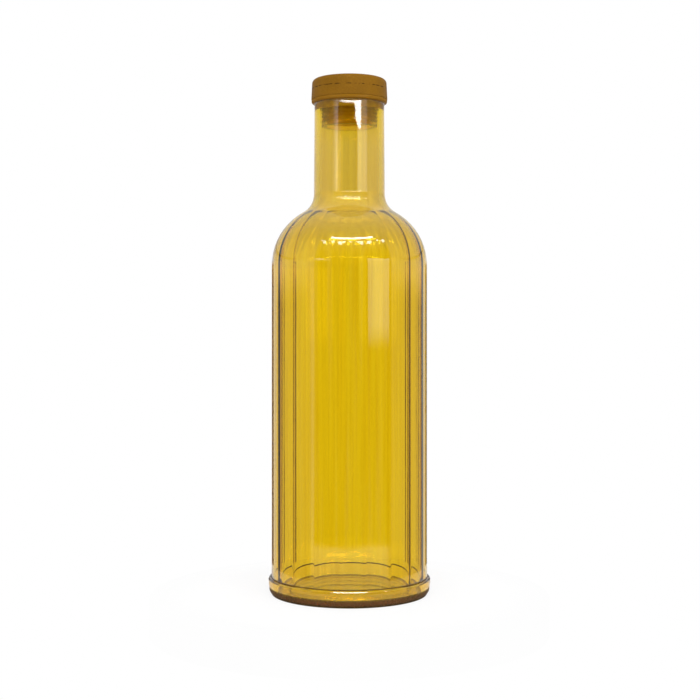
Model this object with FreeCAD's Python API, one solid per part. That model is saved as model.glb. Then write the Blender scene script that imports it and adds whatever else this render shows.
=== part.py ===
"""Clear one-litre bottle with flutes on its inside, a welded foot and a push-in stopper.

Units are millimetres, with +Z up. The origin is the centre of the face that the foot rests on.
The outside is smooth and round. The inside of the body carries vertical flutes that run up
the wall and over the shoulder, and run out in the round where the bore of the neck starts.
"""
import FreeCAD
import Part

import math
import os

# Foot: a shallow dish, welded under the body
foot_height = 9.0           # from the resting face to the joint with the body
bead_overhang = 1.7         # how far the bead stands out from the body
bead_height = 6.0           # of the fullest part of the bead
bead_round = 1.1            # rounded top edge of the bead
foot_base_round = 2.7       # rounded bottom edge
foot_side_slope = 0.5       # how far the side draws in from the bead to the bottom edge
floor_height = 2.4          # of the inside floor
floor_fillet = 1.0          # between the floor and the wall
resting_width = 8.6         # of the flat ring that the bottle stands on
recess_depth = 0.5          # of the underside inside that ring
gate_mark_radius = 1.1      # low round pip left on the floor by moulding
gate_mark_height = 0.35
gate_mark_distance = 19.0   # from the axis, in line with a flute at the back

# Body
body_radius = 43.15
shoulder_height = 181.2     # where the straight side turns into the shoulder
shoulder_radius = 33.5
wall = 2.95                 # at the middle of a flute, where the wall is thinnest
flute_count = 18
flute_radius = 20.0         # of the arc that each flute is cut with
ridge_turn = -7.3           # degrees from the front (-Y) to the nearest ridge, towards +X

# Neck and mouth
mouth_height = 273.0
neck_base_radius = 19.7
neck_top_radius = 19.33
neck_fillet_radius = 11.7   # between the shoulder and the neck
bore_radius = 16.5
bore_flare_radius = 14.6    # round where the bore opens into the shoulder
flare_relief = 0.05         # how far the round starts inside the middle of the flutes
lip_overhang = 1.65         # how far the lip stands out from the neck
lip_thickness = 2.0
lip_fillet = 0.6            # under the lip, against the neck
lip_edge_round = 0.3        # at the lip's top edge

# Stopper: a disc cap with a hollow plug
cap_height = 11.5
cap_overhang = 0.15         # of the cap's lower edge past the lip
cap_taper = 0.43            # how far the cap draws in towards its top
cap_top_round = 2.5
cap_base_round = 0.4
plug_length = 15.2          # from the cap's underside to the end of the plug
stem_clearance = 2.5        # between the bore and the stem that carries the seal
rim_clearance = 1.15        # between the bore and the rim that keeps the seal on the stem
rim_thickness = 2.5
stem_wall = 1.4
cap_floor_thickness = 9.0   # material left in the cap above the plug's hollow

# Seal: a soft sleeve with a collar that closes the bore, and fins below it
seal_gap = 0.05             # between the sleeve and both the stem and the bore
collar_length = 5.9
fin_count = 3
fin_clearance = 1.15        # between the bore and the fins
fin_depth = 0.65
fin_thickness = 1.15

# Values worked out from the sizes above
foot_radius = body_radius + bead_overhang
shoulder_centre = body_radius - shoulder_radius
inner_radius = body_radius - wall
inner_shoulder_radius = shoulder_radius - wall
flute_pitch = 360.0 / flute_count
tool_overlap = 0.4          # between the tools that cut the inside
lip_radius = neck_top_radius + lip_overhang
cap_base_radius = lip_radius + cap_overhang
cap_top_radius = cap_base_radius - cap_taper
stem_radius = bore_radius - stem_clearance
rim_radius = bore_radius - rim_clearance
plug_bottom = mouth_height - plug_length

FIRST_FLUTE = -90 + ridge_turn + flute_pitch / 2    # polar angle of the flute at the front
Z_AXIS = FreeCAD.Vector(0, 0, 1)
ORIGIN = FreeCAD.Vector(0, 0, 0)


def point(radius, height):
    """A point of a profile in the XZ plane."""
    return FreeCAD.Vector(radius, 0, height)


def line(start, end):
    return Part.LineSegment(point(*start), point(*end)).toShape()


def arc(centre, radius, from_deg, to_deg):
    """An arc in the XZ plane. Angles are counted from +X towards +Z."""
    angles = [math.radians(a) for a in (from_deg, 0.5 * (from_deg + to_deg), to_deg)]
    ends = [point(centre[0] + radius * math.cos(a), centre[1] + radius * math.sin(a)) for a in angles]
    return Part.Arc(*ends).toShape()


def joined(edges):
    """The edges in order, with a straight edge across each gap and back to the start."""
    path = []
    for edge, following in zip(edges, edges[1:] + edges[:1]):
        path.append(edge)
        end = edge.valueAt(edge.LastParameter)
        start = following.valueAt(following.FirstParameter)
        if end.distanceToPoint(start) > 1e-6:
            path.append(Part.LineSegment(end, start).toShape())
    return Part.Wire(path)


def revolved(edges):
    """The closed outline turned once around the Z axis."""
    return Part.Face(joined(edges)).revolve(ORIGIN, Z_AXIS, 360)


def cylinder(radius, low, high):
    return Part.makeCylinder(radius, high - low, point(0, low), Z_AXIS)


def flute_insets():
    """How far the smooth core, and the flat back of a flute tool, lie inside the flute's middle."""
    centre = inner_radius - flute_radius
    half_pitch = math.radians(flute_pitch / 2)
    ridge = centre * math.cos(half_pitch)
    ridge += math.sqrt(flute_radius ** 2 - (centre * math.sin(half_pitch)) ** 2)
    core = ridge - tool_overlap
    back = (core - tool_overlap) * math.cos(half_pitch)
    return inner_radius - core, inner_radius - back


CORE_INSET, TOOL_INSET = flute_insets()


def flute_profile(height):
    """Segment of the flute's circle, lying flat at one height, with its middle on +X."""
    back = inner_radius - TOOL_INSET
    half_chord = math.sqrt(flute_radius ** 2 - (flute_radius - TOOL_INSET) ** 2)
    left = FreeCAD.Vector(back, -half_chord, height)
    right = FreeCAD.Vector(back, half_chord, height)
    bow = Part.Arc(left, point(inner_radius, height), right).toShape()
    return Part.Face(Part.Wire([bow, Part.LineSegment(right, left).toShape()]))


def straight_flute(low, high):
    """Tool for one flute between two heights of the straight side."""
    return flute_profile(low).extrude(FreeCAD.Vector(0, 0, high - low))


def bent_flute():
    """Tool for one flute where it bends over the shoulder: part of a ring standing on edge.

    It ends over the bottle's axis, past the bore.
    """
    pivot = point(shoulder_centre, shoulder_height)
    past_top = math.degrees(math.asin(shoulder_centre / inner_shoulder_radius))
    return flute_profile(shoulder_height).revolve(pivot, FreeCAD.Vector(0, -1, 0), 90 + past_top)


def fluted(shape, tool):
    """The shape with the tool cut from it at every flute around the axis."""
    for index in range(flute_count):
        turned = tool.copy()
        turned.rotate(ORIGIN, Z_AXIS, FIRST_FLUTE + index * flute_pitch)
        shape = shape.cut(turned)
    return shape


def neck_join(shoulder_arc, neck_radius, fillet_radius):
    """Height of the centre of the round under the neck, and its angle where it meets the shoulder."""
    reach = shoulder_arc + fillet_radius
    across = neck_radius + fillet_radius - shoulder_centre
    return shoulder_height + math.sqrt(reach ** 2 - across ** 2), math.degrees(math.acos(across / reach))


def bore_flare():
    """Tool for the round where the bore opens into the shoulder. It takes the ends off the ridges."""
    height, angle = neck_join(inner_shoulder_radius - flare_relief, bore_radius, bore_flare_radius)
    low = height - bore_flare_radius * math.sin(math.radians(angle))
    return revolved([
        arc((bore_radius + bore_flare_radius, height), bore_flare_radius, 180 + angle, 180),
        line((0, height), (0, low)),
    ])


def make_body():
    """Body, shoulder and neck in one piece, open at both ends, with the flutes inside."""
    fillet_height, join_angle = neck_join(shoulder_radius, neck_base_radius, neck_fillet_radius)
    under_lip = mouth_height - lip_thickness
    lip_round = lip_radius - neck_top_radius - lip_fillet
    shell = revolved([
        line((0, foot_height), (body_radius, foot_height)),
        arc((shoulder_centre, shoulder_height), shoulder_radius, 0, join_angle),
        arc((neck_base_radius + neck_fillet_radius, fillet_height), neck_fillet_radius,
            180 + join_angle, 180),
        arc((neck_top_radius + lip_fillet, under_lip - lip_fillet), lip_fillet, 180, 90),
        arc((lip_radius - lip_round, under_lip + lip_round), lip_round, 270, 360),
        arc((lip_radius - lip_edge_round, mouth_height - lip_edge_round), lip_edge_round, 0, 90),
        line((bore_radius, mouth_height), (0, mouth_height)),
    ])
    core_arc = inner_shoulder_radius - CORE_INSET
    bore_angle = math.degrees(math.acos((bore_radius - shoulder_centre) / core_arc))
    core = revolved([
        line((0, foot_height), (inner_radius - CORE_INSET, foot_height)),
        arc((shoulder_centre, shoulder_height), core_arc, 0, bore_angle),
        line((bore_radius, mouth_height), (0, mouth_height)),
    ])
    tool = straight_flute(foot_height, shoulder_height).fuse(bent_flute()).removeSplitter()
    return fluted(shell.cut(core), tool).cut(bore_flare())


def make_foot():
    """Welded dish with a rounded bead outside. Its inside is plain, so the flutes end at the weld."""
    low_radius = foot_radius - foot_side_slope
    bead_edge = foot_radius - bead_round
    ring_outside = low_radius - foot_base_round
    recess_radius = ring_outside - resting_width
    floor_edge = inner_radius - floor_fillet
    dish = revolved([
        line((0, recess_depth), (recess_radius, recess_depth)),
        line((recess_radius, 0), (ring_outside, 0)),
        arc((ring_outside, foot_base_round), foot_base_round, 270, 360),
        line((foot_radius, bead_height), (foot_radius, foot_height - bead_round)),
        arc((bead_edge, foot_height - bead_round), bead_round, 0, 90),
        line((bead_edge, foot_height), (inner_radius, foot_height)),
        arc((floor_edge, floor_height + floor_fillet), floor_fillet, 360, 270),
        line((floor_edge, floor_height), (0, floor_height)),
    ])
    pip_sphere = (gate_mark_radius ** 2 + gate_mark_height ** 2) / (2 * gate_mark_height)
    pip_top = floor_height + gate_mark_height
    pip = Part.makeSphere(pip_sphere, point(gate_mark_distance, pip_top - pip_sphere))
    pip.rotate(ORIGIN, Z_AXIS, FIRST_FLUTE + 180)
    above_floor = cylinder(recess_radius, floor_height - recess_depth, foot_height)
    return dish.fuse(pip.common(above_floor)).removeSplitter()


def make_stopper():
    """Disc cap with a hollow plug below it, which ends in a rim that holds the seal."""
    top = mouth_height + cap_height
    hollow_radius = stem_radius - stem_wall
    return revolved([
        arc((cap_base_radius - cap_base_round, mouth_height + cap_base_round), cap_base_round, 270, 360),
        arc((cap_top_radius - cap_top_round, top - cap_top_round), cap_top_round, 0, 90),
        line((0, top), (0, top - cap_floor_thickness)),
        line((hollow_radius, top - cap_floor_thickness), (hollow_radius, plug_bottom)),
        line((rim_radius, plug_bottom), (rim_radius, plug_bottom + rim_thickness)),
        line((stem_radius, plug_bottom + rim_thickness), (stem_radius, mouth_height)),
    ])


def make_seal():
    """Soft sleeve on the plug's stem: a collar against the bore, then fins down to the rim."""
    inside = stem_radius + seal_gap
    fin_radius = bore_radius - fin_clearance
    root_radius = fin_radius - fin_depth
    collar_bottom = mouth_height - collar_length
    sleeve_bottom = plug_bottom + rim_thickness
    outline = [
        line((inside, sleeve_bottom), (inside, mouth_height)),
        line((bore_radius - seal_gap, mouth_height), (bore_radius - seal_gap, collar_bottom)),
    ]
    fin_pitch = (collar_bottom - sleeve_bottom - fin_thickness) / (fin_count - 0.5)
    for index in range(fin_count):
        low = sleeve_bottom + (fin_count - 1 - index) * fin_pitch
        outline.append(line((root_radius, low + fin_thickness), (fin_radius, low + fin_thickness)))
        outline.append(line((fin_radius, low), (root_radius, low)))
    return revolved(outline)


os.makedirs("parts", exist_ok=True)
make_body().exportStep("parts/bottle_body.step")
make_foot().exportStep("parts/foot.step")
make_stopper().exportStep("parts/stopper.step")
make_seal().exportStep("parts/seal_sleeve.step")
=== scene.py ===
"""Looks of a fluted acrylic bottle: clear amber body and foot, satin stopper and soft seal.

Run as a script, it makes every piece and the studio around them. Lengths are metres in the
frame's own axes, with +Z up and the origin under the middle of the foot. A round piece is a
profile of (radius, height) carried round the Z axis.
"""

import math

import bpy
import numpy as np
from bpy.props import FloatProperty, FloatVectorProperty, IntProperty, PointerProperty
from bpy.types import Operator, Panel, PropertyGroup
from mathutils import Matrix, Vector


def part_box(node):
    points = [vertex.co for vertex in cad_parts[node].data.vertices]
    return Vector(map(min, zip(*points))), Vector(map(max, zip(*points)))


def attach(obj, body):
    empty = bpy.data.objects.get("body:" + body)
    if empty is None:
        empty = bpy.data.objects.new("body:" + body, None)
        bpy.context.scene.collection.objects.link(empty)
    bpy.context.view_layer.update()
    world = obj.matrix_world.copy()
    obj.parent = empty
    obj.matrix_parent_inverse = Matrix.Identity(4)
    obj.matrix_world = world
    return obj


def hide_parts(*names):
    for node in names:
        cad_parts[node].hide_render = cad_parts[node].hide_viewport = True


bl_info = {
    "name": "Fluted Acrylic Bottle",
    "version": (1, 0, 0),
    "blender": (4, 5, 0),
    "location": "View3D > Sidebar > Bottle",
    "description": "Makes a fluted acrylic bottle with a push-in stopper, and a studio for it",
    "category": "Add Mesh",
}

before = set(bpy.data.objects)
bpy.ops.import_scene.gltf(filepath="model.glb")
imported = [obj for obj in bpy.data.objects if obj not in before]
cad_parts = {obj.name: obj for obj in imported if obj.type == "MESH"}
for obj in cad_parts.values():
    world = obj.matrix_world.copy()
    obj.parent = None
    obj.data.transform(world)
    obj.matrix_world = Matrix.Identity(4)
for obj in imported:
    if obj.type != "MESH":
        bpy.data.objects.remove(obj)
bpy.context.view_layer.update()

MM = 0.001
BODY_LOW, BODY_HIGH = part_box("bottle_body")
FOOT_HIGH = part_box("foot")[1]
STOPPER_LOW, STOPPER_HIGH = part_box("stopper")
MOUTH = BODY_HIGH.z

# How finely the surfaces are divided
STEPS_PER_FLUTE = 24
STEPS_PER_QUARTER = 12
PLAIN_COLUMNS = 180         # around a piece without flutes
TABLE_COLUMNS = 96
TABLE_RINGS = 24
SIDE_ROWS = 6               # up the straight side, inside and outside
SHOULDER_ROWS = 40          # up the flutes over the shoulder
FLARE_ROWS = 15             # round the flare into the bore
HALVINGS = 50               # in the search for each flute's end
SHARP_EDGE = math.radians(22)
NEAR_EDGE = 0.5 * MM        # from a bend to the first row of a straight run, for true reflections

# Shapes that only the looks need
RIDGE_FADE = 0.6            # share of their depth that the flutes lose over the shoulder
BEAD_CORNERS = (0.0, 14.4, 44.2, 67.0, 90.0)    # in degrees, so that one flat catches a light
SHOULDER_START = (0.0, 3.2, 3.3)    # in degrees: a quick turn keeps thin reflections off it
SHOULDER_EVEN = 11.0        # degrees, from which the corners run evenly up to the neck
SHOULDER_CORNERS = 8
AIR_FILM = 0.025 * MM       # half the gap at the weld, and how far the lip goes into the cap
SEAL_PRESS = 0.03 * MM      # how far the collar reaches into the bore
SEAL_GAP = 0.05 * MM        # between the sleeve and the stem
FIN_GAP = 0.02 * MM         # between the lowest fin and the rim
PLUG_EDGE = 0.2 * MM        # rounds on the plug's edges
FIN_EDGE = 0.15 * MM        # rounds on the fins
COLLAR_BEVEL = (0.35 * MM, 0.4 * MM)    # across and down, on the collar's top edge
COLLAR_ROWS = (0.8 * MM, 1 * MM)        # across and up: rows that keep the collar's flats even
RECESS_BEVEL = 0.3          # share of the depth of the hollow underneath
FLOOR_START = 0.85          # share of the body's radius where the floor's rings start
PIP_MARGIN = 1.3            # pip radii on each side of its middle that have fine rings
FOOT_POLE = 0.5 * MM        # radius of the ring of points nearest each pole
FLOOR_POLE = 0.8 * MM
STOPPER_POLE = 0.3 * MM
TABLE_POLE = 10 * MM
TABLE_DROP = 0.2 * MM       # of the table top below the foot's resting face
TABLE_THICKNESS = 20 * MM

# Where a finish, a painted shade or a painted light changes, as heights or as distances from the axis
NECK_HAZE = (201 * MM, 252 * MM)
CAP_TOUCH = (MOUTH - 2.5 * MM, MOUTH - 1.9 * MM)
WELD_LINE = (FOOT_HIGH.z - 0.16 * MM, FOOT_HIGH.z + 0.16 * MM)
WELD_EDGE = (43.2 * MM, 43.35 * MM)
# The next two place a painted shade line in the corner at the floor's edge.
FLOOR_LINE = (2.0 * MM, 2.9 * MM)
FLOOR_EDGE = (38.9 * MM, 39.5 * MM)
# The next two place a painted shade band low on the foot's outside edge.
SHADE_BAND_TOP = (3.8 * MM, 4.5 * MM)
SHADE_BAND_EDGE = (41 * MM, 42 * MM)
CAP_LINE = (MOUTH + 5.6 * MM, MOUTH + 6.1 * MM)
CAP_START = (MOUTH - 0.5 * MM, MOUTH)
# The next two place painted light inside the plug's hollow.
HOLLOW_EDGE = (12.7 * MM, 12.9 * MM)
HOLLOW_TOP = (276 * MM, 276.5 * MM)
COLLAR_START = (MOUTH - 6.2 * MM, MOUTH - 5.6 * MM)
FOOT_SHADOW = (37.5 * MM, 43.0 * MM)
TABLE_FADE = (75 * MM, 105 * MM)


# Sizes and colours that a user would change

def length(name, description, millimetres):
    """A length, with its default in millimetres."""
    return FloatProperty(
        name=name, description=description, default=millimetres * MM, min=0.0,
        precision=5, unit="LENGTH")


def colour(name, description, value):
    """A colour as linear red, green and blue."""
    return FloatVectorProperty(
        name=name, description=description, default=value, min=0.0, max=1.0,
        size=3, subtype="COLOR")


def amount(name, description, value, highest=100.0):
    """A number from 0 up to a highest one."""
    return FloatProperty(name=name, description=description, default=value, min=0.0, max=highest)


class BodySizes(PropertyGroup):
    radius: length("Radius", "Outside of the straight side", 43.15)
    wall: length("Wall", "Thickness at the middle of a flute", 2.95)
    shoulder_height: length("Shoulder height", "Where the straight side turns in", 181.2)
    shoulder_radius: length("Shoulder radius", "Of the arc over the shoulder", 33.5)
    flute_count: IntProperty(name="Flutes", description="Vertical flutes inside", default=18, min=6)
    flute_radius: length("Flute radius", "Of the arc that each flute is cut with", 20.0)
    ridge_turn: FloatProperty(
        name="Ridge turn", description="From the front to the nearest ridge",
        default=math.radians(-7.3), subtype="ANGLE")
    neck_base_radius: length("Neck base radius", "Outside, where the neck starts", 19.7)
    neck_top_radius: length("Neck top radius", "Outside, under the lip", 19.33)
    neck_fillet: length("Neck fillet", "Round between shoulder and neck", 11.7)
    bore_radius: length("Bore radius", "Inside of the neck", 16.5)
    bore_flare: length("Bore flare", "Round where the bore opens into the shoulder", 14.6)
    lip_radius: length("Lip radius", "Outside of the lip", 20.98)
    lip_thickness: length("Lip thickness", "Height of the lip", 2.0)
    lip_fillet: length("Lip fillet", "Round under the lip", 0.6)
    lip_edge: length("Lip edge", "Round on the lip's top edge", 0.3)


class FootSizes(PropertyGroup):
    radius: length("Radius", "Of the bead at its fullest", 44.85)
    bead_height: length("Bead height", "Height of the fullest part", 6.0)
    bead_round: length("Bead round", "Rounded top edge of the bead", 1.1)
    base_round: length("Base round", "Rounded bottom edge", 2.7)
    side_slope: length("Side slope", "How far the side draws in below the bead", 0.5)
    floor_height: length("Floor height", "Of the inside floor", 2.4)
    floor_fillet: length("Floor fillet", "Round between floor and wall", 1.0)
    recess_radius: length("Recess radius", "Of the hollow underneath", 33.05)
    recess_depth: length("Recess depth", "Of the hollow underneath", 0.5)
    pip_distance: length("Pip distance", "Of the moulding pip from the middle", 19.0)
    pip_radius: length("Pip radius", "Of the moulding pip on the floor", 1.1)
    pip_height: length("Pip height", "Of the moulding pip on the floor", 0.35)


class StopperSizes(PropertyGroup):
    base_radius: length("Base radius", "Of the cap's lower edge", 21.13)
    top_radius: length("Top radius", "Of the cap's side at its top", 20.7)
    top_round: length("Top round", "Rounded top edge of the cap", 2.5)
    base_round: length("Base round", "Rounded lower edge of the cap", 0.4)
    floor_thickness: length("Cap floor", "Material above the plug's hollow", 9.0)
    stem_radius: length("Stem radius", "Of the plug's stem", 14.0)
    hollow_radius: length("Hollow radius", "Of the plug's hollow", 12.6)
    rim_radius: length("Rim radius", "Of the rim that holds the seal", 15.35)
    rim_thickness: length("Rim thickness", "Of the rim that holds the seal", 2.5)
    collar_length: length("Collar length", "Of the seal's collar", 5.9)
    fin_count: IntProperty(name="Fins", description="Fins below the collar", default=3, min=1)
    fin_radius: length("Fin radius", "Of the seal's fins", 15.35)
    fin_depth: length("Fin depth", "How far the fins stand out", 0.65)
    fin_thickness: length("Fin thickness", "Of each fin", 1.15)


class BottleFinish(PropertyGroup):
    red_absorption: amount("Red absorption", "Share of red lost per metre", 12.0, 5000.0)
    green_absorption: amount("Green absorption", "Share of green lost per metre", 45.0, 5000.0)
    blue_absorption: amount("Blue absorption", "Share of blue lost per metre", 350.0, 5000.0)
    surface_tint: colour("Surface tint", "Colour that each surface adds", (0.94, 0.85, 0.23))
    haze_colour: colour("Haze", "Colour of the faint haze in the neck", (0.9, 0.82, 0.5))
    # The dark joint at the weld, and painted shade in the corner at the floor's edge.
    joint_and_shade_line_colour: colour("Weld line", "Colour at the weld and the floor's edge", (0.1, 0.038, 0.004))
    # Painted shade: the dark band low on the foot's outside stands in for the shade under the foot seen
    # through the acrylic.
    foot_band_shade_colour: colour("Rubbed edge", "Colour of the edge that it stands on", (0.08, 0.043, 0.015))
    stopper_colour: colour("Stopper", "Colour of the stopper's plastic", (0.182, 0.083, 0.0056))
    plug_tint: colour("Plug", "Tint of the plug below the cap", (0.96, 0.8, 0.22))
    # Painted light: a lighter colour inside the plug's hollow, against the shade that falls there.
    hollow_painted_light_colour: colour("Hollow", "Colour inside the plug's hollow", (0.9, 0.6, 0.12))
    seal_colour: colour("Seal", "Colour of the soft seal", (0.82, 0.56, 0.14))
    seal_tint: colour("Seal tint", "Tint of the seal below its collar", (0.97, 0.82, 0.25))


class StudioSettings(PropertyGroup):
    camera_distance: length("Camera distance", "From the bottle's axis", 728.0)
    camera_height: length("Camera height", "Above the table", 146.5)
    focal_length: FloatProperty(
        name="Focal length", description="In millimetres on a 36 mm wide sensor", default=67.37)
    shift_x: FloatProperty(
        name="Shift sideways", description="Of the lens, in sensor widths", default=0.0009, precision=4)
    shift_y: FloatProperty(
        name="Shift up", description="Of the lens, in sensor widths", default=-0.0313, precision=4)
    table_radius: length("Table radius", "Of the round white table top", 110.0)
    table_colour: colour("Table", "Colour of the table top", (0.90, 0.90, 0.90))
    shadow_colour: colour("Foot shadow", "Colour of the table under the foot", (0.05, 0.03, 0.01))
    dark_tint: colour("Dark panels", "Tint of the room's dark panels", (1.0, 0.48, 0.08))
    right_box: amount("Right softbox", "Brightness of the tall softbox on the right", 2.0)
    left_strip: amount("Left strip", "Brightness of the strip on the left", 3.0)
    overhead: amount("Overhead", "Brightness of the box above the camera", 22.0)
    scattered: amount("Scattered", "Brightness of the broken lights below the overhead box", 16.0)
    arch: amount("Arch", "Brightness of the ragged light round the neck's foot", 24.0)


class BottleSettings(PropertyGroup):
    body: PointerProperty(type=BodySizes, name="Body", description="Sizes of the body")
    foot: PointerProperty(type=FootSizes, name="Foot", description="Sizes of the foot")
    stopper: PointerProperty(type=StopperSizes, name="Stopper", description="Sizes of the stopper")
    finish: PointerProperty(type=BottleFinish, name="Finish", description="Colours of the bottle")
    studio: PointerProperty(type=StudioSettings, name="Studio", description="Camera, table and lights")


# Surfaces

def faceted(radius, height, size, corners):
    """Points (centre + size * (cos a, sin a)) of a round, for the angles a in degrees."""
    angle = np.radians(corners)
    return np.stack([radius + size * np.cos(angle), height + size * np.sin(angle)], axis=1)


def arc(radius, height, size, start, end):
    """Points of a round from start to end degrees, in even steps."""
    steps = max(2, math.ceil(abs(end - start) / 90 * STEPS_PER_QUARTER))
    return faceted(radius, height, size, np.linspace(start, end, steps + 1))


def straight(start, end, steps=1):
    """Points from start to end in even steps, both ends included."""
    share = np.linspace(0.0, 1.0, steps + 1)[:, None]
    return np.asarray(start) * (1 - share) + np.asarray(end) * share


def spread(profile, columns):
    """A plain profile as grids of radius and height, the same in every column."""
    grid = np.ones((1, columns))
    return profile[:, :1] * grid, profile[:, 1:] * grid


def round_surface(name, radius, height, azimuth, closed):
    """Mesh of the points (radius cos, radius sin, height) on a grid of profile rows and azimuths.

    radius and height are arrays of rows by columns. A closed profile joins its last row to its
    first. An open one starts and ends on the axis, and a fan of triangles closes each pole.
    """
    rows, columns = radius.shape
    points = np.stack([radius * np.cos(azimuth), radius * np.sin(azimuth), height], axis=-1)
    points = points.reshape(-1, 3)
    row = np.arange(rows if closed else rows - 1)[:, None] * columns
    above = (row + columns) % (rows * columns)
    column = np.arange(columns)[None, :]
    beside = (column + 1) % columns
    quads = np.stack([row + column, row + beside, above + beside, above + column], axis=-1)
    faces = quads.reshape(-1, 4).tolist()
    if not closed:
        first, last = rows * columns, rows * columns + 1
        ends = [[0.0, 0.0, height[0].mean()], [0.0, 0.0, height[-1].mean()]]
        points = np.concatenate([points, ends])
        around, onwards = np.arange(columns), (np.arange(columns) + 1) % columns
        top = (rows - 1) * columns
        faces += np.stack([np.full(columns, first), onwards, around], axis=1).tolist()
        faces += np.stack([np.full(columns, last), top + around, top + onwards], axis=1).tolist()
    mesh = bpy.data.meshes.new(name)
    mesh.from_pydata(points.tolist(), [], faces)
    mesh.shade_smooth()
    mesh.set_sharp_from_angle(angle=SHARP_EDGE)
    return mesh


def turned(name, profile, closed=False, columns=PLAIN_COLUMNS):
    """Plain round piece: the (radius, height) profile carried round the axis.

    It runs from pole to pole, or, where it is closed, round a hole.
    """
    azimuth = np.linspace(0.0, 2 * math.pi, columns, endpoint=False)
    return round_surface(name, *spread(profile, columns), azimuth, closed)


class Flutes:
    """The fluted inside of the body, as radius and height over the azimuth.

    Up the straight side each flute is part of an upright cylinder of flute_radius. Over the
    shoulder it bends into part of a ring that stands on edge about the shoulder's own centre.
    """

    def __init__(self, sizes):
        pitch = 2 * math.pi / sizes.flute_count
        step = np.arange(sizes.flute_count * STEPS_PER_FLUTE)
        self.tilt = (step % STEPS_PER_FLUTE / STEPS_PER_FLUTE - 0.5) * pitch
        self.azimuth = step / STEPS_PER_FLUTE * pitch - math.pi / 2 + sizes.ridge_turn
        self.columns = len(step)
        self.size = sizes.flute_radius
        self.pivot = sizes.radius - sizes.shoulder_radius
        self.pivot_height = sizes.shoulder_height
        self.reach = sizes.shoulder_radius - sizes.wall - sizes.flute_radius

    def side(self):
        """Radius of the straight side: where a ray at each tilt meets the flute's circle."""
        centre = self.pivot + self.reach
        across = centre * np.sin(self.tilt)
        return centre * np.cos(self.tilt) + np.sqrt(self.size ** 2 - across ** 2)

    def shoulder(self, rise):
        """Radius and height on the bent flute, at an angle of rise about the shoulder's centre.

        A point at a turn round the ring's own section is out = reach + size cos(turn) from that
        centre, and size sin(turn) to one side. The turn is the one that lies at the tilt.
        """
        slope = np.tan(self.tilt)
        lean = np.arctan(slope * np.cos(rise))
        level = slope * (self.pivot + self.reach * np.cos(rise))
        turn = lean + np.arcsin(level / (self.size * np.sqrt(1 + (slope * np.cos(rise)) ** 2)))
        out = self.reach + self.size * np.cos(turn)
        radius = (self.pivot + out * np.cos(rise)) / np.cos(self.tilt)
        return radius, self.pivot_height + out * np.sin(rise)

    def softened(self, rise):
        """The bent flute, with its ridges lower by RIDGE_FADE * sin^2(rise) of their depth."""
        radius, height = self.shoulder(rise)
        share = RIDGE_FADE * np.sin(rise) ** 2
        out = self.reach + self.size
        radius = radius + share * (self.pivot + out * np.cos(rise) - radius)
        height = height + share * (self.pivot_height + out * np.sin(rise) - height)
        return radius, height

    def last_rise(self, centre, size):
        """Rise at which the bent flute runs out into a round, given the round's centre and size.

        Up from the round's lower edge, the flute runs inside the round while it is nearer to
        its centre than its size. Halving an interval finds the last rise where it does.
        """
        low = np.zeros_like(self.tilt)
        start = math.atan2(centre[1] - self.pivot_height, centre[0] - self.pivot)
        high = np.full_like(self.tilt, math.pi / 2)
        edge = centre[1] - size * math.sin(start)
        for _ in range(HALVINGS):
            middle = (low + high) / 2
            radius, height = self.softened(middle)
            inside = np.hypot(radius - centre[0], height - centre[1]) < size
            before = inside | (height < edge)
            low = np.where(before, middle, low)
            high = np.where(before, high, middle)
        return low


def body_outline(sizes, pivot, joint):
    """Profile of the smooth outside: up the side and the neck, and over the lip to the bore."""
    reach = sizes.shoulder_radius + sizes.neck_fillet
    centre = sizes.neck_base_radius + sizes.neck_fillet
    across = centre - pivot
    join = math.degrees(math.acos(across / reach))
    shoulder = (*SHOULDER_START, *np.linspace(SHOULDER_EVEN, join, SHOULDER_CORNERS + 1)[:-1])
    neck_height = sizes.shoulder_height + math.sqrt(reach ** 2 - across ** 2)
    under_lip = MOUTH - sizes.lip_thickness
    fillet = sizes.lip_fillet
    lip_round = sizes.lip_radius - sizes.neck_top_radius - fillet
    top = MOUTH + AIR_FILM
    edge = sizes.lip_edge
    neck_low = (sizes.neck_base_radius, neck_height + NEAR_EDGE)
    neck_high = (sizes.neck_top_radius, under_lip - fillet - NEAR_EDGE)
    return np.concatenate([
        straight((sizes.radius, joint), (sizes.radius, sizes.shoulder_height - NEAR_EDGE), SIDE_ROWS),
        faceted(pivot, sizes.shoulder_height, sizes.shoulder_radius, shoulder),
        arc(centre, neck_height, sizes.neck_fillet, 180 + join, 180),
        straight(neck_low, neck_high, steps=4),
        arc(sizes.neck_top_radius + fillet, under_lip - fillet, fillet, 180, 90),
        arc(sizes.lip_radius - lip_round, under_lip + lip_round, lip_round, 270, 360),
        arc(sizes.lip_radius - edge, top - edge, edge, 0, 90),
        arc(sizes.bore_radius + edge, top - edge, edge, 90, 180),
    ])


def body_inside(sizes, flutes, joint):
    """Radius and height grids of the inside: down the bore, its flare and the flutes.

    The flare is a round, and each flute starts where it runs out into that round.
    """
    flare = sizes.bore_flare
    centre = sizes.bore_radius + flare
    reach = sizes.shoulder_radius - sizes.wall + flare
    centre_height = sizes.shoulder_height + math.sqrt(reach ** 2 - (centre - flutes.pivot) ** 2)
    rise = flutes.last_rise((centre, centre_height), flare)[None, :]
    end_radius, end_height = flutes.softened(rise)
    turn = np.linspace(0.0, 1.0, FLARE_ROWS + 1)[:-1, None]
    turn = turn * np.arctan2(centre_height - end_height, centre - end_radius)
    radius, height = flutes.softened(np.linspace(1.0, 0.0, SHOULDER_ROWS + 1)[:, None] * rise)
    side_radius = np.repeat(flutes.side()[None, :], SIDE_ROWS, axis=0)
    side_height = np.linspace(sizes.shoulder_height, joint, SIDE_ROWS + 1)[1:, None]
    radius = np.concatenate([centre - flare * np.cos(turn), radius, side_radius])
    height = np.concatenate([
        centre_height - flare * np.sin(turn), height, side_height * np.ones_like(side_radius)])
    return radius, height


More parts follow.
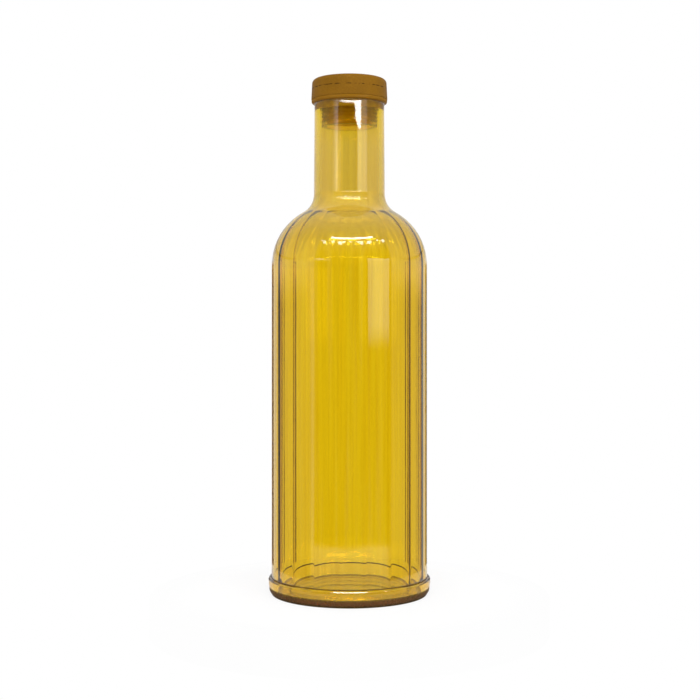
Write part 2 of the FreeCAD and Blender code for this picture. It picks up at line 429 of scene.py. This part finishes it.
def body_mesh(sizes):
    """Body and neck as one wall: up the smooth outside, over the mouth, down the fluted inside."""
    flutes = Flutes(sizes)
    joint = BODY_LOW.z + AIR_FILM
    outer_radius, outer_height = spread(body_outline(sizes, flutes.pivot, joint), flutes.columns)
    inner_radius, inner_height = body_inside(sizes, flutes, joint)
    radius = np.concatenate([outer_radius, inner_radius])
    height = np.concatenate([outer_height, inner_height])
    return round_surface("body", radius, height, flutes.azimuth, True)


def foot_mesh(sizes, body_sizes):
    """Dish from pole to pole: under, up the bead, down the plain round inside, in over the floor.

    The moulding pip is a raised cap of height h (1 - d^2 / r^2) at distance d from its middle.
    """
    flutes = Flutes(body_sizes)
    joint = FOOT_HIGH.z - AIR_FILM
    base = sizes.base_round
    base_edge = sizes.radius - sizes.side_slope - base
    bead_top = joint - sizes.bead_round
    recess = sizes.recess_radius
    depth = sizes.recess_depth
    bevel = RECESS_BEVEL * depth
    under = np.concatenate([
        straight((FOOT_POLE, depth), (recess - bevel, depth), steps=8),
        straight((recess, depth - bevel), (recess, bevel)),
        straight((recess + bevel, 0.0), (base_edge, 0.0), steps=3)[:-1],
        arc(base_edge, base, base, 270, 360),
        [(sizes.radius, sizes.bead_height)],
        faceted(sizes.radius - sizes.bead_round, bead_top, sizes.bead_round, BEAD_CORNERS),
    ])
    outer_radius, outer_height = spread(under, flutes.columns)
    fillet = sizes.floor_fillet
    wall = body_sizes.radius - body_sizes.wall
    wall_profile = np.concatenate([
        [(wall, joint)],
        faceted(wall - fillet, sizes.floor_height + fillet, fillet, np.linspace(0, -90, 7)),
    ])
    wall_radius, wall_height = spread(wall_profile, flutes.columns)
    beyond_pip = sizes.pip_distance + PIP_MARGIN * sizes.pip_radius
    before_pip = sizes.pip_distance - PIP_MARGIN * sizes.pip_radius
    rings = np.concatenate([
        np.linspace(FLOOR_START * body_sizes.radius, beyond_pip, 5),
        np.linspace(beyond_pip, before_pip, 25)[1:],
        np.linspace(before_pip, FLOOR_POLE, 7)[1:],
    ])
    floor = np.stack([rings, np.full_like(rings, sizes.floor_height)], axis=1)
    floor_radius, floor_height = spread(floor, flutes.columns)
    pip_azimuth = math.pi / 2 + body_sizes.ridge_turn + math.pi / body_sizes.flute_count
    east = floor_radius * np.cos(flutes.azimuth - pip_azimuth) - sizes.pip_distance
    north = floor_radius * np.sin(flutes.azimuth - pip_azimuth)
    share = (east ** 2 + north ** 2) / sizes.pip_radius ** 2
    floor_height = floor_height + sizes.pip_height * np.clip(1 - share, 0.0, 1.0)
    radius = np.concatenate([outer_radius, wall_radius, floor_radius])
    height = np.concatenate([outer_height, wall_height, floor_height])
    return round_surface("foot", radius, height, flutes.azimuth, False)


def stopper_mesh(sizes):
    """Cap and hollow plug from the hollow's ceiling, round the rim and the cap, to the cap's top."""
    top = STOPPER_HIGH.z
    bottom = STOPPER_LOW.z
    edge = PLUG_EDGE
    base = sizes.base_round
    ceiling = top - sizes.floor_thickness
    rim_top = bottom + sizes.rim_thickness
    flat = sizes.top_radius - sizes.top_round
    profile = np.concatenate([
        straight((STOPPER_POLE, ceiling), (sizes.hollow_radius - 2 * edge, ceiling), steps=4),
        arc(sizes.hollow_radius - 2 * edge, ceiling - 2 * edge, 2 * edge, 90, 0),
        arc(sizes.hollow_radius + edge, bottom + edge, edge, 180, 270),
        arc(sizes.rim_radius - edge, bottom + edge, edge, 270, 360),
        arc(sizes.rim_radius - edge, rim_top - edge, edge, 0, 90),
        straight((sizes.stem_radius, rim_top), (sizes.stem_radius, MOUTH)),
        arc(sizes.base_radius - base, MOUTH + base, base, 270, 360),
        arc(flat, top - sizes.top_round, sizes.top_round, 0, 90),
        straight((flat, top), (STOPPER_POLE, top), steps=6)[1:],
    ])
    return turned("stopper", profile)


def seal_mesh(sizes, body_sizes):
    """Sleeve round the stem: a collar pressed to the bore, then fins down to the rim."""
    high = MOUTH - AIR_FILM
    inside = sizes.stem_radius + SEAL_GAP
    pressed = body_sizes.bore_radius + SEAL_PRESS
    low = STOPPER_LOW.z + sizes.rim_thickness + FIN_GAP
    collar = high - sizes.collar_length
    root = sizes.fin_radius - sizes.fin_depth
    edge = FIN_EDGE
    pitch = (collar - low - sizes.fin_thickness) / (sizes.fin_count - 0.5)
    fins = []
    for index in range(sizes.fin_count):
        start = low + index * pitch
        fins.append(arc(sizes.fin_radius - edge, start + edge, edge, 270, 360))
        fins.append(arc(sizes.fin_radius - edge, start + sizes.fin_thickness - edge, edge, 0, 90))
        end = low + (index + 1) * pitch if index + 1 < sizes.fin_count else collar
        fins.append(straight((root, start + sizes.fin_thickness), (root, end)))
    profile = np.concatenate([
        straight((inside, high), (inside, low)),
        *fins,
        arc(pressed - 2 * edge, collar + 2 * edge, 2 * edge, 270, 360),
        straight((pressed, collar + COLLAR_ROWS[1]), (pressed, high - COLLAR_BEVEL[1])),
        straight((pressed - COLLAR_BEVEL[0], high), (pressed - COLLAR_ROWS[0], high)),
    ])
    return turned("seal", profile, closed=True)


def table_mesh(radius):
    """Round table top: rings of even width, a little below the foot's resting face."""
    rings = np.linspace(radius, TABLE_POLE, TABLE_RINGS)
    under = np.array([[TABLE_POLE, -TABLE_THICKNESS], [radius, -TABLE_THICKNESS]])
    top = np.stack([rings, np.full_like(rings, -TABLE_DROP)], axis=1)
    return turned("table", np.concatenate([under, top]), columns=TABLE_COLUMNS)


# Shaders

class Value:
    """A shader socket that takes part in arithmetic: each operator adds its Math node."""

    def __init__(self, nodes, socket):
        self.nodes = nodes
        self.socket = socket

    def math(self, operation, *others):
        """A Math node's result, with this value first."""
        inputs = dict(enumerate((self, *others)))
        return self.nodes.add("ShaderNodeMath", {"operation": operation}, inputs, "Value")

    def turned_round(self, operation, other):
        """A Math node's result, with the other value first."""
        inputs = {0: other, 1: self}
        return self.nodes.add("ShaderNodeMath", {"operation": operation}, inputs, "Value")

    def __add__(self, other):
        return self.math("ADD", other)

    def __radd__(self, other):
        return self.turned_round("ADD", other)

    def __sub__(self, other):
        return self.math("SUBTRACT", other)

    def __rsub__(self, other):
        return self.turned_round("SUBTRACT", other)

    def __mul__(self, other):
        return self.math("MULTIPLY", other)

    def __rmul__(self, other):
        return self.turned_round("MULTIPLY", other)

    def __neg__(self):
        return self.math("MULTIPLY", -1.0)


class Nodes:
    """One shader tree, emptied, to which nodes are added."""

    def __init__(self, owner):
        owner.use_nodes = True
        self.tree = owner.node_tree
        self.tree.nodes.clear()

    def add(self, kind, settings=None, inputs=None, output=0):
        """A node of that type. Settings are set first, and inputs are values or links.

        It gives the output of that name or number, and nothing for a tree's last node.
        """
        node = self.tree.nodes.new(kind)
        for key, value in (settings or {}).items():
            setattr(node, key, value)
        for key, value in (inputs or {}).items():
            socket = self.find(node.inputs, key)
            if isinstance(value, Value):
                self.tree.links.new(value.socket, socket)
            else:
                socket.default_value = value
        if output is not None:
            return Value(self, self.find(node.outputs, output))

    def find(self, sockets, key):
        """A socket by its place in the list or by its identifier."""
        if isinstance(key, int):
            return sockets[key]
        return next(socket for socket in sockets if socket.identifier == key)

    def parts(self, vector):
        """The three numbers of a vector."""
        split = self.add("ShaderNodeSeparateXYZ", None, {"Vector": vector}, "X")
        outputs = split.socket.node.outputs
        return split, Value(self, outputs["Y"]), Value(self, outputs["Z"])

    def place(self):
        """Place on the piece, with its distance from the axis and its height."""
        place = self.add("ShaderNodeTexCoord", output="Object")
        x, y, height = self.parts(place)
        return place, (x * x + y * y).math("SQRT"), height

    def outside(self):
        """1 where a surface is seen from its outer side."""
        return 1.0 - self.add("ShaderNodeNewGeometry", output="Backfacing")

    def noise(self, place, scale, detail=2.0, roughness=0.5):
        """Noise from 0 to 1, with scale in waves per metre."""
        inputs = {"Vector": place, "Scale": scale, "Detail": detail, "Roughness": roughness}
        return self.add("ShaderNodeTexNoise", None, inputs, "Fac")

    def step(self, value, low, high, start=0.0, end=1.0):
        """Smooth change from start to end as the value goes from low to high."""
        inputs = {"Value": value, "From Min": low, "From Max": high, "To Min": start, "To Max": end}
        return self.add("ShaderNodeMapRange", {"interpolation_type": "SMOOTHSTEP"}, inputs, "Result")

    def below(self, value, low, high):
        """1 below low, 0 above high, and smooth between them."""
        return self.step(value, low, high, 1.0, 0.0)

    def window(self, value, low, high, edge):
        """1 between low and high, 0 outside, with soft edges."""
        return self.step(value, low - edge, low + edge) * self.below(value, high - edge, high + edge)

    def mix(self, factor, first, second):
        """Blend of two colours."""
        inputs = {"Factor_Float": factor, "A_Color": first, "B_Color": second}
        return self.add("ShaderNodeMix", {"data_type": "RGBA"}, inputs, "Result_Color")

    def blend(self, factor, first, second):
        """Blend of two shaders."""
        return self.add("ShaderNodeMixShader", None, {0: factor, 1: first, 2: second}, "Shader")

    def surface(self, **inputs):
        """The main surface shader, its sockets named with _ for a space."""
        named = {name.replace("_", " "): value for name, value in inputs.items()}
        return self.add("ShaderNodeBsdfPrincipled", None, named, "BSDF")

    def matt(self, shade):
        """Plain matt shader of one colour."""
        return self.add("ShaderNodeBsdfDiffuse", None, {"Color": shade}, "BSDF")

    def bump(self, height, distance):
        """Normal of a surface whose relief is a height from 0 to 1, times a distance."""
        return self.add("ShaderNodeBump", None, {"Height": height, "Distance": distance}, "Normal")


def rgba(shade, factor=1.0):
    """A colour for a socket: times the factor or its three factors, and no more than 1."""
    return (*np.clip(np.multiply(shade, factor), 0.0, 1.0).tolist(), 1.0)


def clear_acrylic(name, finish):
    """Clear tinted acrylic, its tint partly in its depth and partly at its surfaces.

    The surface has a slow moulding waviness, streaks drawn along its height and a few wiped
    places. Over it lie a faint haze in the neck, the lip's touch with the cap, a brown line at
    the weld, a painted shade line in the corner at the floor's edge, and a painted shade band
    on the foot's lower outside edge that shows from outside only.
    """
    material = bpy.data.materials.new(name)
    nodes = Nodes(material)
    place, radius, height = nodes.place()
    stretch = {0: place, 1: (1.0, 1.0, 0.02)}
    drawn = nodes.add("ShaderNodeVectorMath", {"operation": "MULTIPLY"}, stretch, "Vector")
    waves = nodes.noise(place, 60.0, 1.0)
    streaks = nodes.noise(drawn, 420.0, 3.0, 0.6)
    wiped = nodes.noise(place, 140.0, 3.0, 0.6)
    tint = rgba(finish.surface_tint)
    deeper = rgba(finish.surface_tint, (0.95, 0.92, 0.7))
    shader = nodes.surface(
        Base_Color=nodes.mix(nodes.step(streaks, 0.42, 0.6), tint, deeper),
        Roughness=nodes.step(wiped, 0.45, 0.8) * 0.02 + 0.004,
        IOR=1.49,
        Transmission_Weight=1.0,
        Normal=nodes.bump(waves + streaks * 0.25, 0.03 * MM),
    )
    haze = nodes.window(height, *NECK_HAZE, 8 * MM) * 0.045
    haze = haze + nodes.step(nodes.noise(drawn, 260.0, 3.0, 0.65), 0.45, 0.7) * 0.014
    shader = nodes.blend(haze, shader, nodes.matt(rgba(finish.haze_colour)))
    touch = nodes.step(height, *CAP_TOUCH) * 0.85
    shader = nodes.blend(touch, shader, nodes.matt(rgba(finish.stopper_colour, 1.35)))
    weld = nodes.window(height, *WELD_LINE, 0.05 * MM) * 0.85 * nodes.below(radius, *WELD_EDGE)
    # The floor line is painted shade in the corner at the floor's edge; the weld line is the dark joint
    # between body and foot.
    floor = nodes.window(radius, *FLOOR_EDGE, 0.1 * MM) * nodes.window(height, *FLOOR_LINE, 0.1 * MM)
    shader = nodes.blend(weld + floor * 0.8, shader, nodes.matt(rgba(finish.joint_and_shade_line_colour)))
    # Painted shade: a dark band low on the foot's outside, seen from outside only, stands in for the
    # shade under the foot seen through the acrylic.
    painted_shade_band = nodes.below(height, *SHADE_BAND_TOP) * nodes.step(radius, *SHADE_BAND_EDGE)
    painted_shade_band = painted_shade_band * nodes.outside() * 0.85
    shader = nodes.blend(painted_shade_band, shader, nodes.matt(rgba(finish.foot_band_shade_colour)))
    losses = (finish.red_absorption, finish.green_absorption, finish.blue_absorption)
    density = max(losses)
    inputs = {"Color": rgba([1.0 - loss / density for loss in losses]), "Density": density}
    depth = nodes.add("ShaderNodeVolumeAbsorption", None, inputs, "Volume")
    nodes.add("ShaderNodeOutputMaterial", None, {"Surface": shader, "Volume": depth}, None)
    return material


def stopper_plastic(name, finish):
    """Satin moulded plastic with fine grain, a broken line round the cap and dull rub marks.

    Below the cap it is translucent, and inside the plug's hollow it has painted light: a much lighter
    colour against the shade that falls there.
    """
    material = bpy.data.materials.new(name)
    nodes = Nodes(material)
    place, radius, height = nodes.place()
    line = nodes.window(height, *CAP_LINE, 0.1 * MM)
    line = line * nodes.step(nodes.noise(place, 500.0, 2.0), 0.42, 0.5)
    grain = nodes.noise(place, 1700.0, 2.0, 0.7)
    flow = nodes.noise(place, 60.0, 3.0, 0.5)
    rubs = nodes.step(nodes.noise(place, 220.0, 4.0, 0.65), 0.58, 0.75)
    plain = rgba(finish.stopper_colour, 0.88)
    darker = rgba(finish.stopper_colour, 0.2)
    lighter = rgba(finish.stopper_colour, 1.15)
    tone = nodes.mix(nodes.step(flow * 0.4 + grain * 0.6, 0.35, 0.65), plain, lighter)
    tone = nodes.mix(line * 0.9, tone, darker)
    # Painted light: the inside of the plug's hollow is coloured much lighter than the plastic, against
    # the shade there.
    hollow = nodes.below(radius, *HOLLOW_EDGE) * nodes.below(height, *HOLLOW_TOP)
    relief = nodes.bump(grain * 0.35 - line, 0.03 * MM)
    cap = nodes.surface(
        Base_Color=nodes.mix(hollow, tone, rgba(finish.hollow_painted_light_colour)),
        Roughness=0.45 + rubs * 0.07 + grain * 0.04,
        Specular_IOR_Level=0.04,
        Normal=relief,
    )
    plug = nodes.surface(
        Base_Color=rgba(finish.plug_tint),
        Roughness=0.12 + rubs * 0.1,
        IOR=1.49,
        Transmission_Weight=1.0,
        Normal=relief,
    )
    shader = nodes.blend(nodes.step(height, *CAP_START), plug, cap)
    nodes.add("ShaderNodeOutputMaterial", None, {"Surface": shader}, None)
    return material


def seal_rubber(name, finish):
    """Soft seal with a dusty bloom and fine speckle: mostly matt collar, clearer below it."""
    material = bpy.data.materials.new(name)
    nodes = Nodes(material)
    place, _, height = nodes.place()
    bloom = nodes.noise(place, 300.0, 4.0, 0.6)
    speckle = nodes.noise(place, 3000.0, 2.0, 0.5)
    dusty = rgba(np.multiply(finish.seal_colour, 1.25) + 0.01)
    matt = nodes.surface(
        Base_Color=nodes.mix(nodes.step(bloom, 0.45, 0.7), rgba(finish.seal_colour), dusty),
        Roughness=0.55 + speckle * 0.15,
        IOR=1.45,
        Normal=nodes.bump(speckle, 0.02 * MM),
    )
    clear = nodes.surface(
        Base_Color=rgba(finish.seal_tint),
        Roughness=0.25 + speckle * 0.1,
        IOR=1.42,
        Transmission_Weight=1.0,
    )
    shader = nodes.blend(nodes.step(height, *COLLAR_START, 0.2, 0.6), clear, matt)
    nodes.add("ShaderNodeOutputMaterial", None, {"Surface": shader}, None)
    return material


def table_white(name, studio):
    """Matt white table top with a very faint unevenness and a painted shadow ring under the foot.

    To the camera it glows white, and through the acrylic it does so in part.
    """
    material = bpy.data.materials.new(name)
    nodes = Nodes(material)
    place, radius, _ = nodes.place()
    cloud = nodes.noise(place, 12.0, 2.0)
    plain = nodes.mix(cloud, rgba(studio.table_colour), rgba(studio.table_colour, 0.985))
    painted_foot_shadow = nodes.window(radius, *FOOT_SHADOW, 0.3 * MM) * nodes.outside()
    tone = nodes.mix(painted_foot_shadow, plain, rgba(studio.shadow_colour))
    shader = nodes.surface(Base_Color=tone, Roughness=0.9, Specular_IOR_Level=0.0)
    seen = nodes.add("ShaderNodeLightPath", output="Is Camera Ray")
    through = Value(nodes, seen.socket.node.outputs["Is Transmission Ray"])
    white = nodes.add("ShaderNodeEmission", None, {"Color": tone, "Strength": 1.11}, "Emission")
    share = seen * nodes.step(radius, *TABLE_FADE, 0.85, 1.0) + through * 0.6
    shader = nodes.blend(share, shader, white)
    nodes.add("ShaderNodeOutputMaterial", None, {"Surface": shader}, None)
    return material


def studio_light(studio):
    """Soft studio as one sky: a white room, softboxes, dark edge boards and a dark front side.

    Directions are degrees around the bottle, from the camera towards the right, and degrees up.
    The camera itself sees plain white. Through the acrylic it sees the room, its edge boards and
    its lamps. The dark front, the dim sides and the dim level that the neck's foot mirrors are
    for reflections only. The dark parts are a warm brown.
    """
    world = bpy.data.worlds.new("studio")
    bpy.context.scene.world = world
    nodes = Nodes(world)
    direction = nodes.add("ShaderNodeTexCoord", output="Generated")
    x, y, z = nodes.parts(direction)
    around = x.math("ARCTAN2", -y) * math.degrees(1.0)
    up = z.math("ARCSINE") * math.degrees(1.0)
    from_back = 180.0 - around.math("ABSOLUTE")
    path = nodes.add("ShaderNodeLightPath", output="Is Camera Ray")
    unseen = 1.0 - path
    reflected = Value(nodes, path.socket.node.outputs["Glossy Depth"]).math("GREATER_THAN", 0.5)

    # The room and its dark parts
    room = 1.0 - 0.2 * nodes.step(up, 5.0, 7.0)
    boards = nodes.window(from_back, 16.0, 29.0, 0.5) * nodes.below(up, 2.0, 4.0)
    sides = nodes.window(from_back, 46.0, 122.0, 3.0) * nodes.below(up, 1.0, 3.0)
    neck_foot = nodes.window(up, 9.6, 11.0, 0.3)
    room = room * (1.0 - (0.65 * sides * (1.0 - neck_foot) + 0.6 * neck_foot) * reflected)
    front = nodes.window(around, -52.0, 63.0, 2.0) * nodes.step(up, -9.6, -9.2)
    front = front * nodes.step(up, 3.0, 47.0, 1.0, 0.15) * nodes.below(up, 45.0, 49.0)
    beside_neck = nodes.step(up, 5.1, 6.1) * nodes.below(up, 9.3, 10.6)
    beside_neck = beside_neck * (1.0 - nodes.window(around, -28.0, 25.0, 2.0))
    front = front * (1.0 - beside_neck) * reflected
    dark = boards.math("MAXIMUM", front)
    room = room * (1.0 - 0.88 * dark)

    # The lamps
    right_box = nodes.window(around, 27.0, 60.0, 1.0) * nodes.window(up, -0.5, 12.0, 0.7)
    left_strip = nodes.step(around, -57.0, -40.0) * nodes.below(around, -38.5, -37.5)
    left_strip = left_strip * nodes.window(up, 6.4, 10.4, 0.3)
    overhead = nodes.window(around, -35.0, 46.0, 1.0) * nodes.window(up, 45.5, 49.0, 0.4)
    scattered = nodes.window(around, -56.0, 63.0, 1.0) * nodes.window(up, 35.0, 41.0, 1.0)
    scattered = scattered * nodes.step(nodes.noise(direction, 9.0, 1.0), 0.5, 0.56)
    ragged = around + nodes.noise(direction, 60.0, 2.0) * 8.0 - 4.0
    narrowing = ragged - (10.3 - up).math("MAXIMUM", 0.0) * 19.0
    leg = nodes.step(narrowing, 15.0, 17.0) * nodes.below(ragged, 37.0, 39.0)
    leg = leg * nodes.window(up, 9.5, 10.75, 0.1)
    band = nodes.window(ragged, -37.0, 38.0, 1.0) * nodes.window(up, 10.3, 10.75, 0.05)
    lamps = studio.right_box * right_box + studio.left_strip * left_strip
    lamps = lamps + studio.overhead * overhead + studio.scattered * scattered
    lamps = lamps + studio.arch * leg.math("MAXIMUM", band)

    warm = dark * (1.0 - lamps.math("MINIMUM", 1.0)) * unseen
    background = nodes.add("ShaderNodeBackground", None, {
        "Color": nodes.mix(warm, rgba((1.0, 1.0, 1.0)), rgba(studio.dark_tint)),
        "Strength": path + unseen * (room + lamps),
    }, "Background")
    nodes.add("ShaderNodeOutputWorld", None, {"Surface": background}, None)


# Operators and panel

def settings():
    """The bottle's sizes, colours and studio, as the scene holds them."""
    return bpy.context.scene.bottle


def placed(mesh, material):
    """An object at the origin for a finished mesh, in its material."""
    mesh.materials.append(material)
    piece = bpy.data.objects.new(mesh.name, mesh)
    bpy.context.scene.collection.objects.link(piece)
    return piece


class BOTTLE_OT_body(Operator):
    """Make the body and neck in clear amber acrylic"""
    bl_idname = "bottle.body"
    bl_label = "Body"

    def execute(self, context):
        piece = placed(body_mesh(settings().body), clear_acrylic("amber_acrylic", settings().finish))
        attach(piece, "root")
        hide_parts("bottle_body")
        return {"FINISHED"}


class BOTTLE_OT_foot(Operator):
    """Make the welded foot in clear amber acrylic"""
    bl_idname = "bottle.foot"
    bl_label = "Foot"

    def execute(self, context):
        mesh = foot_mesh(settings().foot, settings().body)
        piece = placed(mesh, clear_acrylic("amber_acrylic_foot", settings().finish))
        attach(piece, "root")
        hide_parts("foot")
        return {"FINISHED"}


class BOTTLE_OT_stopper(Operator):
    """Make the cap and plug in satin plastic"""
    bl_idname = "bottle.stopper"
    bl_label = "Stopper"

    def execute(self, context):
        mesh = stopper_mesh(settings().stopper)
        piece = placed(mesh, stopper_plastic("stopper_plastic", settings().finish))
        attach(piece, "root")
        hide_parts("stopper")
        return {"FINISHED"}


class BOTTLE_OT_seal(Operator):
    """Make the soft seal on the plug"""
    bl_idname = "bottle.seal"
    bl_label = "Seal"

    def execute(self, context):
        mesh = seal_mesh(settings().stopper, settings().body)
        piece = placed(mesh, seal_rubber("seal_rubber", settings().finish))
        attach(piece, "root")
        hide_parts("seal_sleeve")
        return {"FINISHED"}


class BOTTLE_OT_stage(Operator):
    """Make the table top, the studio light and the camera"""
    bl_idname = "bottle.stage"
    bl_label = "Studio"

    def execute(self, context):
        studio = settings().studio
        table = placed(table_mesh(studio.table_radius), table_white("table_white", studio))
        studio_light(studio)
        lens = bpy.data.cameras.new("camera")
        lens.lens = studio.focal_length
        lens.sensor_width = 36.0
        lens.shift_x = studio.shift_x
        lens.shift_y = studio.shift_y
        camera = bpy.data.objects.new("camera", lens)
        camera.location = (0.0, -studio.camera_distance, studio.camera_height)
        camera.rotation_euler = (math.pi / 2, 0.0, 0.0)
        bpy.context.scene.collection.objects.link(camera)
        bpy.context.scene.camera = camera
        context.scene.view_settings.view_transform = "Standard"
        return {"FINISHED"}


OPERATORS = (BOTTLE_OT_body, BOTTLE_OT_foot, BOTTLE_OT_stopper, BOTTLE_OT_seal, BOTTLE_OT_stage)


class VIEW3D_PT_bottle(Panel):
    """Buttons and sizes of the bottle"""
    bl_label = "Fluted Acrylic Bottle"
    bl_space_type = "VIEW_3D"
    bl_region_type = "UI"
    bl_category = "Bottle"

    def draw(self, context):
        for group in ("body", "foot", "stopper", "finish", "studio"):
            part = getattr(context.scene.bottle, group)
            box = self.layout.box()
            box.label(text=group.capitalize())
            for name in part.__annotations__:
                box.prop(part, name)
        for operator in OPERATORS:
            self.layout.operator(operator.bl_idname)


CLASSES = (
    BodySizes, FootSizes, StopperSizes, BottleFinish, StudioSettings, BottleSettings,
    *OPERATORS, VIEW3D_PT_bottle,
)


def register():
    for each in CLASSES:
        bpy.utils.register_class(each)
    bpy.types.Scene.bottle = PointerProperty(type=BottleSettings)


def unregister():
    del bpy.types.Scene.bottle
    for each in reversed(CLASSES):
        bpy.utils.unregister_class(each)


def main():
    """Makes everything."""
    register()
    bpy.ops.bottle.body()
    bpy.ops.bottle.foot()
    bpy.ops.bottle.stopper()
    bpy.ops.bottle.seal()
    bpy.ops.bottle.stage()


if __name__ == "__main__":
    main()
